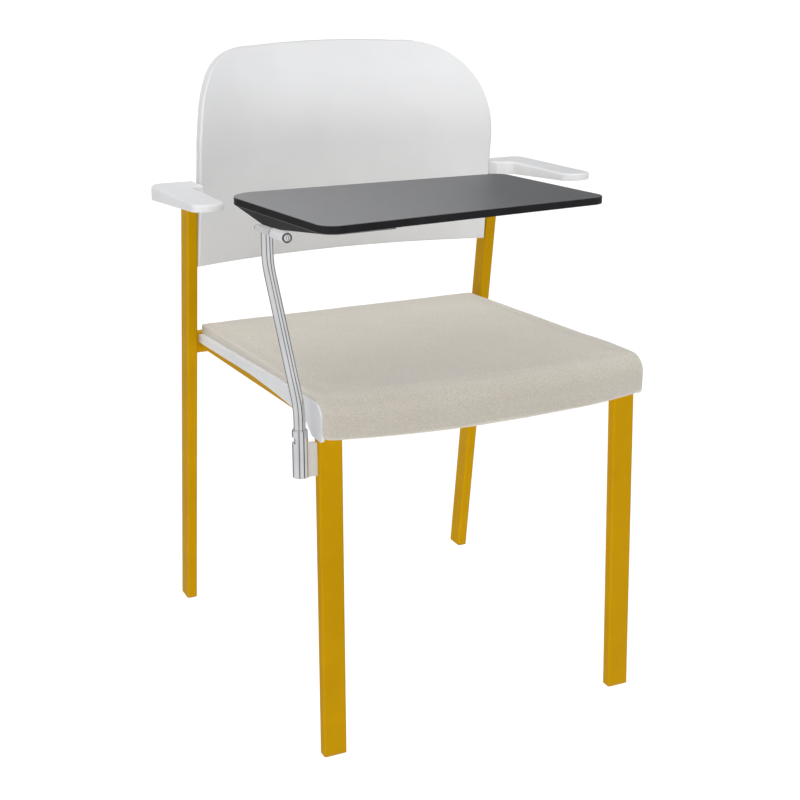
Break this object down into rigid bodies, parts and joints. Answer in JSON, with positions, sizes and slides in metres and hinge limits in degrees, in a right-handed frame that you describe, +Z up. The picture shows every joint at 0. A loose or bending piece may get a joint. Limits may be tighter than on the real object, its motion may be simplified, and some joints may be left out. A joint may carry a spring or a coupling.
{
  "type": "writing-tablet armchair",
  "caption": "Steel-tube visitor armchair with padded seat, bowed plastic back, plastic armrests and a flip-up writing tablet on a swivelling post.",
  "frame": {"origin": "on the floor, in the middle of the whole chair's box", "axes": "+Z up, the sitter faces -Y, +X to the sitter's left; the writing tablet's post stands at -X"},
  "size_m": [0.562, 0.6053, 0.814],
  "materials": {
    "frame_paint": "satin ochre powder coat",
    "glide_plastic": "matte",
    "shell_plastic": "satin",
    "seat_fabric": "woven cloth on foam",
    "screw_steel": "zinc plated",
    "back_plastic": "fine texture",
    "arm_plastic": "satin",
    "bracket_grey": "satin light grey",
    "arm_chrome": "polished",
    "bush_steel": "bright",
    "carrier_grey": "satin light grey",
    "tablet_laminate": "satin dark laminate",
    "support_black": "satin"
  },
  "bodies": {
    "chair": {"front_leg_left": "frame_paint", "front_leg_right": "frame_paint", "side_rail_left": "frame_paint", "side_rail_right": "frame_paint", "rear_leg_left": "frame_paint", "rear_leg_right": "frame_paint", "rear_cross_rail": "frame_paint", "front_cross_rail": "frame_paint", "front_glides": "glide_plastic", "rear_glides": "glide_plastic", "seat_shell": "shell_plastic", "seat_pad": "seat_fabric", "seat_screws": "screw_steel", "backrest_panel": "back_plastic", "back_lugs": "frame_paint", "back_screws": "screw_steel", "armrest_right": "arm_plastic", "armrest_left": "arm_plastic", "sleeve_bracket": "bracket_grey", "bracket_screws": "screw_steel", "arm_sleeve": "arm_chrome", "sleeve_bush": "bush_steel"},
    "post": {"arm_post": "arm_chrome", "stop_pin": "screw_steel", "hinge_carrier": "carrier_grey", "hinge_pin": "arm_chrome", "hinge_clip": "arm_chrome"},
    "tablet": {"hinge_knuckle": "arm_chrome", "hinge_washers": "arm_chrome", "tablet_support": "support_black", "support_screws": "screw_steel", "tablet_packing": "support_black", "tablet_board": "tablet_laminate"}
  },
  "joints": [
    {"name": "arm_swivel", "type": "hinge", "parent": "chair", "child": "post", "pos_m": [-0.2355, -0.20687, 0.42137], "axis": [0.0112, 0.0288, 0.9995], "range_deg": [-90, 0]},
    {"name": "tablet_flip", "type": "hinge", "parent": "post", "child": "tablet", "pos_m": [-0.24152, -0.14, 0.64141], "axis": [0.0823, -0.9962, 0.0278], "range_deg": [0, 95]}
  ]
}
